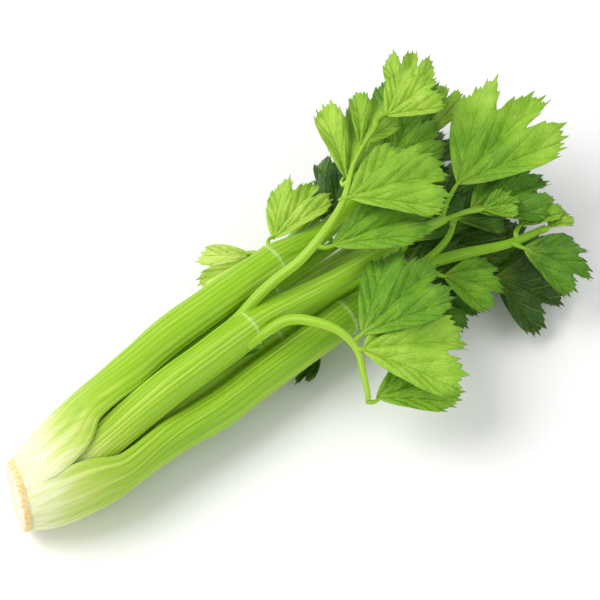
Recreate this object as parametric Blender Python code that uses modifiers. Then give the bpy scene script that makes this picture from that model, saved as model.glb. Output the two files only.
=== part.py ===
"""A head of celery lying on its side: crown, nine ribbed leaf stalks in three whorls, heart and leaflets.

Lengths are millimetres until they reach a mesh. x runs along the head from the cut butt to the leaves,
and z up from the surface that the head lies on. The origin is moved to the flat belly of stalk_e.
"""

import math

import bmesh
import bpy
import numpy as np
from mathutils import Matrix, Vector
from mathutils.bvhtree import BVHTree

MM = 0.001
WELD = 0.00001  # in metres
REST = (150.0, 7.0)  # x and y of the belly spot that becomes the origin
FLAT = 1.8  # what lies lower than this on the two belly stalks is pressed flat at z = 0
BELLY = (120.0, 222.0)  # the stretch of the belly stalks that is flat

# The middle of the ring of stalks, as x, y, z: the butt lies lower than the bunch
RING = ((6, -3, 26.5), (20, -7, 30), (40, -10.5, 33), (60, -10, 34.5), (90, -7.5, 35.5), (130, -6, 35.5),
        (260, -6, 35.5))
# Up to the first of these x the butt is turned aside by YAW degrees, with its cut facing PITCH degrees
# upwards, and both fade up to the second
YAW, PITCH = 20.0, 6.0
YAWED = (8.0, 52.0)

# A stalk's section is an arc of a ribbed skin over a hollow back. Rows: x, apex radius from the ring's
# middle, arc radius, half angle and thickness.
WHORLS = {
    "outer": ((6, 22.5, 22.5, 57, 4.2), (13, 26.5, 26, 57, 4.4), (20, 29.2, 28, 57, 4.6),
              (30, 31.2, 29, 56, 5.0), (40, 32.8, 28, 55, 5.3), (60, 35.6, 22, 58, 6.0)),
    "middle": ((6, 17.8, 17.8, 56, 4.2), (13, 21.4, 21.2, 56, 4.2), (20, 24.0, 23, 54, 4.4),
               (30, 25.6, 22, 48, 4.6), (40, 26.4, 20, 42, 5.0), (60, 28.6, 17, 42, 5.6)),
    "inner": ((6, 13.0, 13.0, 54, 3.6), (13, 16.4, 16.0, 52, 3.8), (20, 18.6, 17, 48, 4.0),
              (30, 19.6, 16, 44, 4.2), (40, 20.0, 14, 42, 4.4), (60, 20.4, 11, 52, 4.6)),
}
# The free stretch of a stalk, past the wrapped butt: x, arc radius, half angle and thickness
FREE = {
    "outer": ((80, 18.2, 60, 6.6), (105, 13.6, 80, 7.0), (130, 13.4, 81, 7.0), (160, 13.2, 82, 7.0)),
    "middle": ((80, 14.5, 56, 6.2), (105, 12.6, 74, 6.8), (130, 12.5, 75, 6.8), (160, 12.4, 76, 6.8)),
    "inner": ((80, 9.6, 66, 4.8), (105, 9.0, 74, 5.0), (130, 8.7, 75, 5.0), (160, 8.4, 76, 5.0)),
}
WRAPPED = 50.0  # up to here the sections stand square to the head
SPREAD = (52.0, 75.0)  # where a stalk starts to leave its whorl's place for its own, and how long it takes

# whorl, angle in the whorl, own place (y, z from the ring's middle), own angle, x of the node ring, and
# the rachis beyond it: x, y, z of its middle and its radius
STALKS = {
    "stalk_a": ("outer", 58, (15, 22.5), 88, 214,
                ((242, 9, 57, 8.0), (266, 9, 58, 6.0), (306, 18, 62, 4.2), (342, 32, 66, 2.6))),
    "stalk_b": ("middle", 118, (-11.3, 21.2), 118, 171,
                ((205, -21, 58, 8.2), (240, -27, 60, 6.4), (283, -31, 61, 4.6), (318, -36, 60, 3.0))),
    "stalk_c": ("outer", 178, (-30, -2.8), 150, 232,
                ((258, -37, 36, 6.5), (282, -40, 38, 4.2), (316, -54, 42, 3.6), (344, -70, 46, 2.8),
                 (368, -77, 48, 2.2))),
    "stalk_d": ("middle", 238, (-13, -22.6), 240, 218,
                ((250, -26, 14, 7.0), (285, -42, 14, 4.6), (318, -62, 16, 2.8))),
    "stalk_e": ("outer", 298, (13, -22.0), 298, 224,
                ((256, 8, 14, 7.0), (296, 8, 15, 4.6), (342, 2, 17, 2.8))),
    "stalk_f": ("middle", 358, (28.5, -1.5), 360, 208,
                ((242, 27, 33, 6.6), (284, 38, 34, 4.4), (322, 48, 34, 2.6))),
    "stalk_g": ("inner", 58, (7, 10.5), 68, 205,
                ((236, 4, 44, 5.0), (272, 4, 43, 3.4), (304, 10, 46, 2.2))),
    "stalk_h": ("inner", 178, (-13, -1), 170, 190,
                ((226, -23, 36, 5.0), (262, -26, 37, 3.4), (296, -24, 38, 2.2))),
    "stalk_i": ("inner", 298, (5, -10), 298, 212,
                ((246, -2, 28, 5.0), (286, -6, 30, 3.4), (330, -12, 34, 2.2))),
}
BELLY_STALKS = ("stalk_d", "stalk_e")
RIBS = {"outer": 6, "middle": 5, "inner": 3}
RIB_HEIGHT = 0.55
RIB_FULL = 12.0  # ribs are lower on an arc of less radius than this
EDGE_LIP = 1.2  # how far the hollow back's edges turn down
BACK_SPAN = 0.9  # part of the back's width that its points cover
BACK_POINTS = 5
RING_SWELL = 0.7  # how far the node ring stands out
RING_WIDTH = 5.0
RACHIS_HALF, RACHIS_DEPTH = 100, 1.7  # half angle of a rachis's arc, and its thickness in radii

# The crown's outline, from its middle on the inner side round to its middle on the cut: radius and x
CROWN = ((0, 5.6), (21.6, 5.6), (22.0, 4.6), (21.9, 2.6), (21.2, 0.9), (20.2, 0.2), (18.6, 0.0), (9, 0.5),
         (0, 0.7))
CROWN_SIDES = 40
# The young stalks of the heart, fused at their foot: x, y, z and radius
HEART = (
    ((7.4, -4, 28, 4.4), (40, -10, 35, 4.4), (85, -9, 38.5, 3.8), (118, -11, 42, 3.0), (134, -13, 44, 2.0)),
    ((7.4, -2, 27, 4.2), (40, -8.5, 32, 4.2), (85, -6, 33.5, 3.6), (130, -5, 32, 2.8), (158, -6, 30, 1.8)),
    ((7.4, -5, 25, 4.0), (40, -11.5, 31.5, 3.8), (85, -11, 33, 3.2), (125, -14, 33, 2.2),
     (150, -16, 33, 1.2)),
)

# Side branches, grown out of a stalk at its node: x, y, z and radius
BRANCHES = {
    "stalk_b": (
        ((172, -13, 63, 3.6), (183, -9, 73, 3.5), (197, -10, 77.5, 3.3), (215, -13, 83, 3.1),
         (233, -12, 91, 2.7), (256, -5, 96, 2.2), (284, 14, 97, 1.7), (320, 31, 93, 1.2)),
        ((173, -28, 60, 3.2), (188, -32, 67, 3.4), (199, -48, 71, 3.1), (206, -62, 69, 2.6),
         (208, -74, 62.5, 2.3), (203, -86, 55, 2.0), (197, -98, 47, 1.6)),
    ),
    "stalk_c": (((292, -43, 40, 2.4), (318, -40, 45, 2.2), (330, -34, 48, 1.4)),),
}

# Leaflets: stem they grow from, base, tip, roll, width, droop, cup, depth of the cuts between lobes, teeth
LEAFLETS = {
    "leaf_b1": ("stalk_b", (263, -4, 97), (331, -26, 87), 0, 0.75, 30, 25, 0.5, 15),
    "leaf_b2": ("stalk_b", (236, -19, 86), (310, -34, 74), 0, 0.5, 25, 25, 0.5, 15),
    "leaf_b3": ("stalk_b", (274, 14, 88), (324, 62, 84), 0, 0.7, 30, 25, 0.6, 15),
    "leaf_b4": ("stalk_b", (326, 34, 92), (371, 34, 96), 0, 0.85, 20, 15, 0.5, 15),
    "leaf_b5": ("stalk_b", (302, 28, 88), (342, 52, 85), 0, 0.7, 20, 15, 0.5, 9),
    "leaf_t1": ("stalk_a", (350, 40, 74), (388, 71, 82), 0, 0.6, 20, 20, 0.9, 15),
    "leaf_t2": ("stalk_a", (330, 38, 58), (394, 66, 58), 0, 0.55, 25, 25, 0.6, 15),
    "leaf_t3": ("stalk_a", (354, 22, 56), (407, 50, 56), 0, 0.5, 20, 20, 0.6, 9),
    "leaf_t4": ("stalk_a", (312, 12, 74), (368, 22, 74), 0, 0.6, 20, 20, 0.5, 15),
    "leaf_t5": ("stalk_a", (324, 14, 62), (375, 25, 56), 0, 0.7, 20, 20, 0.5, 9),
    "leaf_r1": ("stalk_b", (339, -24, 66), (427, -13, 77), 0, 0.74, 15, 20, 0.9, 15),
    "leaf_r2": ("stalk_b", (336, -40, 58), (394, -55, 56), 0, 0.8, 20, 20, 0.7, 15),
    "leaf_r3": ("stalk_b", (340, -47, 62), (363, -60, 54), 0, 0.8, 20, 20, 0.5, 9),
    "leaf_r4": ("stalk_c", (329, -36, 50), (362, -49, 46), 0, 0.9, 20, 20, 0.5, 9),
    "leaf_r5": ("stalk_c", (370, -78, 48), (391, -76, 44), 0, 0.8, 20, 20, 0.5, 9),
    "leaf_r6": ("stalk_c", (356, -66, 50), (388, -62, 48), 0, 0.8, 20, 20, 0.5, 9),
    "leaf_c1": ("stalk_c", (346, -79, 48), (371, -119, 34), 0, 0.8, 30, 25, 0.6, 15),
    "leaf_c2": ("stalk_c", (298, -57, 38), (324, -90, 31), 0, 0.85, 30, 25, 0.5, 15),
    "leaf_c3": ("stalk_d", (334, -74, 20), (359, -113, 9), 0, 1.2, 20, 20, 0.7, 15),
    "leaf_c4": ("stalk_d", (288, -55, 24), (309, -84, 16), 0, 0.9, 20, 20, 0.5, 15),
    "leaf_e1": ("stalk_b", (213, -78, 62), (270, -109, 50), 0, 1.0, 30, 25, 0.6, 15),
    "leaf_e2": ("stalk_b", (217, -69, 64), (290, -60, 54), 0, 0.7, 25, 20, 0.6, 15),
    "leaf_e3": ("stalk_b", (200, -101, 44), (258, -121, 38), 0, 0.65, 25, 20, 0.7, 15),
    "leaf_a1": ("stalk_a", (222, 24, 62), (276, 40, 60), 0, 0.66, 20, 20, 0.7, 15),
    "leaf_f1": ("stalk_f", (217, 41, 33), (180, 55, 17), 0, 0.8, 25, 20, 0.7, 15),
    "leaf_f2": ("stalk_f", (327, 50, 34), (385, 70, 28), 0, 0.7, 20, 20, 0.6, 9),
    "leaf_f3": ("stalk_f", (290, 49, 27), (326, 66, 16), 0, 0.7, 25, 20, 0.6, 9),
    "leaf_g1": ("stalk_g", (264, 14, 48), (304, 46, 46), 0, 0.7, 20, 20, 0.6, 15),
    "leaf_g2": ("stalk_g", (308, 10, 47), (366, 14, 46), 0, 0.6, 20, 20, 0.5, 9),
    "leaf_h1": ("stalk_h", (254, -29, 27), (283, -46, 25), 0, 0.6, 10, 10, 0.5, 9),
    "leaf_h2": ("stalk_h", (300, -23, 38), (360, -18, 36), 0, 0.6, 20, 20, 0.5, 9),
    "leaf_i1": ("stalk_i", (334, -13, 34), (392, -30, 34), 0, 0.7, 20, 20, 0.5, 9),
    "leaf_i3": ("stalk_i", (322, -18, 27), (366, -46, 26), 0, 0.9, 15, 20, 0.5, 9),
    "leaf_i2": ("stalk_i", (292, 2, 28), (340, 25, 22), 0, 0.6, 20, 20, 0.5, 9),
    "leaf_h3": ("stalk_h", (290, -33, 33), (332, -58, 27), 0, 0.8, 15, 20, 0.5, 9),
    "leaf_d1": ("stalk_d", (322, -62, 13), (388, -66, 12), 0, 0.6, 15, 20, 0.5, 9),
    "leaf_d2": ("stalk_d", (212, -37, 9), (186, -42, 7), 0, 0.5, 15, 15, 0.6, 9),
    "leaf_e4": ("stalk_e", (346, 1, 17), (410, -10, 12), 0, 0.7, 15, 20, 0.5, 9),
    "leaf_e5": ("stalk_e", (296, 18, 14), (335, 48, 8), 0, 0.7, 15, 20, 0.5, 9),
    "leaf_e6": ("stalk_e", (304, -2, 14), (345, -35, 8), 0, 0.6, 15, 20, 0.5, 9),
    "leaf_heart1": ("heart", (139, -14, 46), (184, -25, 49), 0, 0.35, 10, 10, 0.5, 9),
    "leaf_heart2": ("heart", (162, -6, 30), (205, -8, 26), 0, 0.5, 10, 20, 0.5, 9),
}
TWIG_RADIUS = 1.5
TWIG_END = 0.8  # part of that radius at the blade
TWIG_BACK = 6.0  # how far behind the blade's base a leaflet's branch turns to it
TWIG_BEND = 0.65  # part of the way from its foot to that place where the branch bends
TWIG_SIDES, BRANCH_SIDES = 6, 8
BLADE = 0.8  # blade thickness
BLADE_GAP = 1.6  # between a branch's end and the blade
CLEAR = 1.2  # half the room that a blade needs about its middle surface

# Leaflet outline as angle from the midrib and reach, for half of it: three lobes over a wedge
OUTLINE = ((0, 1.0), (8, 0.95), (16, 0.90), (26, 0.93), (36, 0.93), (44, 0.84), (50, 0.66), (55, 0.44),
           (59, 0.24), (63, 0.09))
NOTCH = (16.0, 9.0, 0.30)  # angle of the cut between two lobes, how wide it is each way, and its depth
TEETH = {
    15: (0, 6, 11.5, 20, 26, 32, 38, 44),
    9: (0, 9, 21, 32, 43),
}
TOOTH_DEPTH = 0.10
SIDE_LOBE = 34.0  # angle of the side lobes' veins
PLEAT = 0.05
WAVE, WAVES, WAVE_STEP = 0.035, 5, 2.4  # the margin's waves: height, how many, and shift from leaf to leaf
ROWS = {15: (1.0, 0.68, 0.42, 0.2, 0.0), 9: (1.0, 0.62, 0.32, 0.0)}
# Changes to a leaflet's pose that are tried in turn until it is clear of what stands: tip lift, roll, droop
LIFTS = (0, 5, -5, 10, -10, 16, -16)
ROLLS = (0, 12, -12, 25, -25)
DROOPS = (0, 18, -18)

# Colour and roughness of each kind of piece
FINISHES = {
    "crown": ((0.82, 0.70, 0.49), 0.55),
    "outer": ((0.55, 0.68, 0.28), 0.32),
    "middle": ((0.60, 0.71, 0.31), 0.32),
    "inner": ((0.68, 0.76, 0.38), 0.34),
    "heart": ((0.78, 0.81, 0.46), 0.36),
    "leaflet": ((0.27, 0.44, 0.07), 0.45),
}
SHARP = math.radians(50)  # an edge that turns more than this isn't smoothed


def smooth(knots, values, at):
    """The cubic curve through values at rising knots, read at one place."""
    knots, values = np.asarray(knots, float), np.asarray(values, float)
    slopes = np.gradient(values, knots, axis=0)
    i = int(np.clip(np.searchsorted(knots, at) - 1, 0, len(knots) - 2))
    step = knots[i + 1] - knots[i]
    t = (at - knots[i]) / step
    return (
        (1 + 2 * t) * (1 - t) ** 2 * values[i] + t * t * (3 - 2 * t) * values[i + 1]
        + step * t * (1 - t) * ((1 - t) * slopes[i] - t * slopes[i + 1])
    )


def ring_middle(x):
    rows = np.array(RING, float)
    return np.array([x, *smooth(rows[:, 0], rows[:, 1:], min(x, RING[-1][0]))])


def stalk_stations(name):
    """Rows of a stalk from butt to tip: arc centre x, y, z, outward angle, radius, half angle, thickness."""
    whorl, angle, place, turn, joint, rachis = STALKS[name]
    outward = np.array([0, math.cos(math.radians(angle)), math.sin(math.radians(angle))])
    rows = []
    for x, apex, radius, half, thick in WHORLS[whorl]:
        near = (apex - radius) * outward
        rows.append([*(ring_middle(x) + near), angle, radius, half, thick])
    far = np.array([0, *place])
    free = np.array(FREE[whorl], float)
    joints = (joint - RING_WIDTH, joint, joint + RING_WIDTH)
    for x in [row[0] for row in free if row[0] < joint - 2 * RING_WIDTH] + list(joints):
        t = min(max((x - SPREAD[0]) / SPREAD[1], 0), 1)
        t = t * t * (3 - 2 * t)
        radius, half, thick = (np.interp(x, free[:, 0], free[:, k]) for k in (1, 2, 3))
        radius += RING_SWELL if x == joint else 0
        radius -= RING_SWELL if x > joint else 0
        middle = ring_middle(x) + near + (far - near) * t
        rows.append([*middle, angle + (turn - angle) * t, radius, half, thick])
    for x, y, z, radius in rachis:
        rows.append([x, y, z, turn, radius, RACHIS_HALF, RACHIS_DEPTH * radius])
    return np.array(rows)


def section(radius, half, thick, ribs, across, back):
    """Outline of a stalk about its arc's centre: ribbed skin, then the hollow back. Returns (u, v) rows."""
    drop = min(EDGE_LIP, radius / 4)
    edge = radius * math.cos(half)
    rim = radius * math.sin(half)
    rib = RIB_HEIGHT * min(1, radius / RIB_FULL)
    turns = np.linspace(-1, 1, across)
    skin = radius - rib * (0.5 - 0.5 * np.cos(2 * math.pi * ribs * (turns + 1) / 2))
    points = [(r * math.sin(half * t), r * math.cos(half * t)) for r, t in zip(skin, turns)]
    for t in np.linspace(BACK_SPAN, -BACK_SPAN, back):
        depth = (radius - thick - edge + drop) * (1 - (t / BACK_SPAN) ** 2)
        points.append((rim * t, edge - drop + depth))
    return [(float(u), float(v)) for u, v in points]


def loft(rows, ribs, across, back):
    """Points of a stalk, one ring of them for each station, and the faces between them."""
    middles = rows[:, :3]
    along = np.gradient(middles, axis=0)
    along[middles[:, 0] < WRAPPED] = (1, 0, 0)
    rings = []
    for middle, way, (turn, radius, half, thick) in zip(middles, along, rows[:, 3:]):
        way = Vector(way).normalized()
        out = Vector((0, math.cos(math.radians(turn)), math.sin(math.radians(turn))))
        out = (out - out.dot(way) * way).normalized()
        side = way.cross(out)
        outline = section(radius, math.radians(half), thick, ribs, across, back)
        rings.append([Vector(middle) + u * side + v * out for u, v in outline])
    count = len(rings[0])
    points = [point for ring in rings for point in ring]
    faces = [tuple(range(count - 1, -1, -1)), tuple(range(len(points) - count, len(points)))]
    for k in range(len(rings) - 1):
        for i in range(count):
            j = (i + 1) % count
            faces.append((k * count + i, k * count + j, (k + 1) * count + j, (k + 1) * count + i))
    return points, faces


def placed(points):
    """Points of this file's millimetres, with the butt turned aside, as metres about the resting spot."""
    ring = np.array(RING, float)
    spots = []
    for x, y, z in (point[:3] for point in points):
        t = min(max((x - YAWED[0]) / (YAWED[1] - YAWED[0]), 0), 1)
        part = 1 - t * t * (3 - 2 * t)
        turn, lean = math.radians(YAW) * part, math.radians(PITCH) * part
        middle, height = (float(np.interp(x, ring[:, 0], ring[:, k])) for k in (1, 2))
        away, above = y - middle, z - height
        x += away * math.sin(turn) + above * math.sin(lean)
        y, z = middle + away * math.cos(turn), height + above * math.cos(lean)
        spots.append(((x - REST[0]) * MM, (y - REST[1]) * MM, z * MM))
    return spots


def add_finish(obj, kind):
    """Gives an object its own material and smooths its round faces."""
    colour, roughness = FINISHES[kind]
    material = bpy.data.materials.new(obj.name)
    material.use_nodes = True
    shader = material.node_tree.nodes["Principled BSDF"]
    shader.inputs["Base Color"].default_value = (*colour, 1)
    shader.inputs["Roughness"].default_value = roughness
    shader.inputs["Metallic"].default_value = 0
    obj.data.materials.clear()
    obj.data.materials.append(material)
    obj.data.shade_smooth()
    obj.data.set_sharp_from_angle(angle=SHARP)


def new_object(name, points, faces, group):
    mesh = bpy.data.meshes.new(name)
    mesh.from_pydata(placed(points), [], faces)
    mesh.validate()
    obj = bpy.data.objects.new(name, mesh)
    group.objects.link(obj)
    return obj


def tube(name, route, group, sides):
    """A tapering round tube through the points of a route, as a closed mesh."""
    curve = bpy.data.curves.new(name, "CURVE")
    curve.dimensions = "3D"
    curve.bevel_depth = MM
    curve.bevel_resolution = (sides - 4) // 2
    curve.use_fill_caps = True
    spline = curve.splines.new("POLY")
    spline.points.add(len(route) - 1)
    for point, place, row in zip(spline.points, placed(route), route):
        point.co = (*place, 1)
        point.radius = row[3]
    guide = bpy.data.objects.new(name + "_guide", curve)
    group.objects.link(guide)
    bpy.context.view_layer.update()
    graph = bpy.context.evaluated_depsgraph_get()
    mesh = bpy.data.meshes.new_from_object(guide.evaluated_get(graph))
    bpy.data.objects.remove(guide)
    shape = bmesh.new()
    shape.from_mesh(mesh)
    bmesh.ops.remove_doubles(shape, verts=shape.verts, dist=WELD)
    bmesh.ops.recalc_face_normals(shape, faces=shape.faces)
    shape.to_mesh(mesh)
    shape.free()
    obj = bpy.data.objects.new(name, mesh)
    group.objects.link(obj)
    return obj


def fuse(obj, others):
    """Joins closed meshes to an object as one body and removes them."""
    pieces = bpy.data.collections.new(obj.name + "_pieces")
    bpy.context.scene.collection.children.link(pieces)
    for other in others:
        for home in list(other.users_collection):
            home.objects.unlink(other)
        pieces.objects.link(other)
    union = obj.modifiers.new("union", "BOOLEAN")
    union.operation = "UNION"
    union.operand_type = "COLLECTION"
    union.collection = pieces
    union.solver = "MANIFOLD"
    bpy.context.view_layer.update()
    graph = bpy.context.evaluated_depsgraph_get()
    mesh = bpy.data.meshes.new_from_object(obj.evaluated_get(graph))
    obj.modifiers.clear()
    obj.data = mesh
    for other in list(pieces.objects):
        bpy.data.objects.remove(other)
    bpy.data.collections.remove(pieces)


def stem_lines(name):
    """The lines that twigs leave from: a stalk's rachis, in its flesh, and its branches, as x, y, z rows."""
    if name == "heart":
        return [np.array(route)[:, :3] for route in HEART]
    rows = stalk_stations(name)[-len(STALKS[name][5]) - 1:]
    turn = np.radians(rows[:, 3])
    outward = np.stack([0 * turn, np.cos(turn), np.sin(turn)], axis=1)
    flesh = rows[:, :3] + (rows[:, 4] - rows[:, 6] / 2)[:, None] * outward
    return [flesh] + [np.array(branch)[:, :3] for branch in BRANCHES.get(name, ())]


def twig(name):
    """Route of the short branch that carries a leaflet, from the nearest stem line to the blade's base."""
    stalk, base, tip = LEAFLETS[name][:3]
    base, tip = np.array(base, float), np.array(tip, float)
    back = base - TWIG_BACK * (tip - base) / np.linalg.norm(tip - base)
    best = None
    for line in stem_lines(stalk):
        for a, b in zip(line, line[1:]):
            t = np.clip((back - a) @ (b - a) / ((b - a) @ (b - a)), 0, 0.9)
            foot = a + t * (b - a)
            gap = np.linalg.norm(foot - back)
            if best is None or gap < best[0]:
                best = (gap, foot)
    foot = best[1]
    middle = foot + TWIG_BEND * (back - foot)
    return [(*foot, TWIG_RADIUS), (*middle, TWIG_RADIUS), (*base, TWIG_END * TWIG_RADIUS)]


def reach(angle, cut):
    """How far the outline without its teeth goes at an angle from the midrib, as part of the length."""
    rows = np.array(OUTLINE, float)
    away = abs(abs(angle) - NOTCH[0]) / NOTCH[1]
    return float(np.interp(abs(angle), rows[:, 0], rows[:, 1])) * (1 - cut * NOTCH[2] * max(0, 1 - away))


def columns(cut, teeth):
    """Angle and reach of each point of the toothed margin, from one side to the other."""
    tips = TEETH[teeth]
    half = [(0.0, 1.0)]
    for a, b in zip(tips, tips[1:]):
        middle = 0.5 * (a + b)
        half.append((middle, reach(middle, cut) * (1 - TOOTH_DEPTH)))
        half.append((b, reach(b, cut)))
    shoulder = 0.5 * (tips[-1] + OUTLINE[-1][0])
    half += [(shoulder, reach(shoulder, cut)), OUTLINE[-1]]
    return [(-angle, r) for angle, r in reversed(half[1:])] + half


def bent(flat, droop, cup, phase):
    """A flat leaflet point of unit length, shaped: pleated along its veins, waved, cupped and drooping."""
    x, y = flat
    r = math.hypot(x, y)
    angle = math.degrees(math.atan2(y, x))
    z = -PLEAT * r * math.cos(2 * math.pi * angle / SIDE_LOBE)
    z += WAVE * r * r * math.sin(math.radians(WAVES * angle) + phase)
    across = math.radians(cup)
    y, z = (1 / across + z) * math.sin(across * y), (1 / across + z) * math.cos(across * y) - 1 / across
    down = math.radians(droop)
    return Vector(((1 / down + z) * math.sin(down * x), y, (1 / down + z) * math.cos(down * x) - 1 / down))


def blade(name, change):
    """Middle surface of a leaflet as points and triangles, in a pose changed by (lift, roll, droop)."""
    _, base, tip, roll, width, droop, cup, cut, teeth = LEAFLETS[name]
    base, tip = Vector(base), Vector(tip) + Vector((0, 0, change[0]))
    roll, droop = roll + change[1], droop + change[2]
    phase = WAVE_STEP * list(LEAFLETS).index(name)
    margin = columns(cut, teeth)
    end = bent((1, 0), droop, cup, phase)
    size = (tip - base).length / end.length
    ahead = (tip - base).normalized()
    up = Vector((0, 0, 1))
    up = (up - up.dot(ahead) * ahead).normalized()
    up.rotate(Matrix.Rotation(math.radians(roll), 3, ahead))
    left = up.cross(ahead)
    level = Matrix.Rotation(math.atan2(end.z, end.x), 3, "Y")
    points, starts = [], []
    start = BLADE_GAP / size
    for k, part in enumerate(ROWS[teeth]):
        starts.append(len(points))
        for angle, r in margin[:: 2**k]:
            r = start + part * (r - start)
            turn = math.radians(angle)
            spot = level @ bent((r * math.cos(turn), width * r * math.sin(turn)), droop, cup, phase)
            points.append(base + size * (spot.x * ahead + spot.y * left + spot.z * up))
    triangles = []
    for k in range(len(starts) - 1):
        outer, inner = starts[k], starts[k + 1]
        for i in range((len(margin) - 1) // 2 ** (k + 1)):
            a, b, c = outer + 2 * i, outer + 2 * i + 1, outer + 2 * i + 2
            d, e = inner + i, inner + i + 1
            triangles += [(d, b, a), (d, e, b), (e, c, b)]
    return points, triangles


def offset_faces(points, triangles, by):
    """Both faces of a blade that is by thick on each side of its middle surface, for a test of room."""
    normals = [Vector((0, 0, 0)) for _ in points]
    for a, b, c in triangles:
        way = (points[b] - points[a]).cross(points[c] - points[a])
        for i in (a, b, c):
            normals[i] += way
    both = [p + side * by * n.normalized() for side in (1, -1) for p, n in zip(points, normals)]
    count = len(points)
    return both, triangles + [tuple(i + count for i in t) for t in triangles]


def add_leaflets(standing, group):
    """Places each leaflet in the first of its poses that is clear of the surface and of what stands."""
    changes = sorted(
        ((lift, roll, droop) for lift in LIFTS for roll in ROLLS for droop in DROOPS),
        key=lambda c: abs(c[0]) + abs(c[1]) / 3 + abs(c[2]) / 4,
    )
    for name in LEAFLETS:
        for change in changes:
            points, triangles = blade(name, change)
            if min(p.z for p in points) < CLEAR:
                continue
            room = BVHTree.FromPolygons(*offset_faces(points, triangles, CLEAR))
            if not any(room.overlap(other) for other in standing):
                break
        else:
            raise ValueError(f"{name} has no pose that is clear")
        standing.append(room)
        leaf = new_object(name, points, triangles, group)
        add_finish(leaf, "leaflet")
        thick = leaf.modifiers.new("blade", "SOLIDIFY")
        thick.thickness = BLADE * MM
        thick.offset = 0


def twigs(stem, group):
    carried = [name for name, row in LEAFLETS.items() if row[0] == stem]
    return [tube(name + "_twig", twig(name), group, TWIG_SIDES) for name in carried]


def add_crown(group):
    mesh = bpy.data.meshes.new("crown")
    profile = [(radius * MM, 0, x * MM) for radius, x in CROWN]
    mesh.from_pydata(profile, [(i, i + 1) for i in range(len(CROWN) - 1)], [])
    obj = bpy.data.objects.new("crown", mesh)
    group.objects.link(obj)
    inside = RING[0]
    turned = Matrix.Rotation(-math.radians(YAW), 4, "Z") @ Matrix.Rotation(math.radians(PITCH), 4, "Y")
    obj.matrix_world = (
        Matrix.Translation(placed([inside])[0]) @ turned
        @ Matrix.Translation((-inside[0] * MM, 0, 0)) @ Matrix.Rotation(math.pi / 2, 4, "Y")
    )
    turn = obj.modifiers.new("turn", "SCREW")
    turn.steps = CROWN_SIDES
    turn.render_steps = CROWN_SIDES
    turn.use_merge_vertices = True
    turn.merge_threshold = WELD
    add_finish(obj, "crown")


def add_heart(group):
    first, *others = [tube(f"heart{i}", route, group, BRANCH_SIDES) for i, route in enumerate(HEART)]
    first.name = "heart"
    fuse(first, others + twigs("heart", group))
    add_finish(first, "heart")
    return first


def add_stalk(name, group):
    whorl = STALKS[name][0]
    ribs = RIBS[whorl]
    points, faces = loft(stalk_stations(name), ribs, 2 * ribs + 1, BACK_POINTS)
    if name in BELLY_STALKS:
        for p in points:
            if p.z < (FLAT if BELLY[0] < p.x < BELLY[1] else 0):
                p.z = 0
    obj = new_object(name, points, faces, group)
    routes = BRANCHES.get(name, ())
    stems = [tube(f"{name}_branch{i}", route, group, BRANCH_SIDES) for i, route in enumerate(routes)]
    fuse(obj, stems + twigs(name, group))
    add_finish(obj, whorl)
    return obj


def main():
    for obj in list(bpy.data.objects):
        bpy.data.objects.remove(obj)
    head = bpy.data.collections.new("head_of_celery")
    bpy.context.scene.collection.children.link(head)
    add_crown(head)
    standing = []
    for obj in [add_heart(head)] + [add_stalk(name, head) for name in STALKS]:
        points = [v.co / MM + Vector((*REST, 0)) for v in obj.data.vertices]
        standing.append(BVHTree.FromPolygons(points, [tuple(p.vertices) for p in obj.data.polygons]))
    add_leaflets(standing, head)


main()
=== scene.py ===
"""Looks of the head of celery: finely ribbed stalks, branches, veined leaflets, heart and cut crown.

Lengths are millimetres in the head's own frame until they reach a mesh: x runs along the head from the cut
butt to the leaves, and z up from the surface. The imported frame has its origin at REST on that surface.
"""

import math

import bpy
import numpy as np
from mathutils import Matrix, Vector, noise


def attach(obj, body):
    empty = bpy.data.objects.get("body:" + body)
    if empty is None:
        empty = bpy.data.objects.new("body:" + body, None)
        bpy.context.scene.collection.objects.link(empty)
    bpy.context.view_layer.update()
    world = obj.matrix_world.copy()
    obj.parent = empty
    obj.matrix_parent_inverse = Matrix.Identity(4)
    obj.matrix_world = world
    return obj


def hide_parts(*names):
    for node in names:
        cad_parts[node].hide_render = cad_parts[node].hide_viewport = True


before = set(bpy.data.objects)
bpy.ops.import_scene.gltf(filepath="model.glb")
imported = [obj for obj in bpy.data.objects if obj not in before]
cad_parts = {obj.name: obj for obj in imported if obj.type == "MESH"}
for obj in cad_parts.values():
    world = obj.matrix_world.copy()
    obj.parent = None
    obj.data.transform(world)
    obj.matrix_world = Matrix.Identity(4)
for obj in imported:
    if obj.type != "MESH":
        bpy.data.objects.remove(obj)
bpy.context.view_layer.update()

MM = 0.001
REST = (150.0, 7.0)
# x, y and z of the middle of the ring of stalks
RING = ((6, -3, 26.5), (20, -7, 30), (40, -10.5, 33), (60, -10, 34.5), (90, -7.5, 35.5), (130, -6, 35.5),
        (260, -6, 35.5))
YAW, PITCH = 20.0, 6.0  # how far the butt is turned aside, and its cut faces up
YAWED = (8.0, 52.0)  # x over which that turn fades
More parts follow.
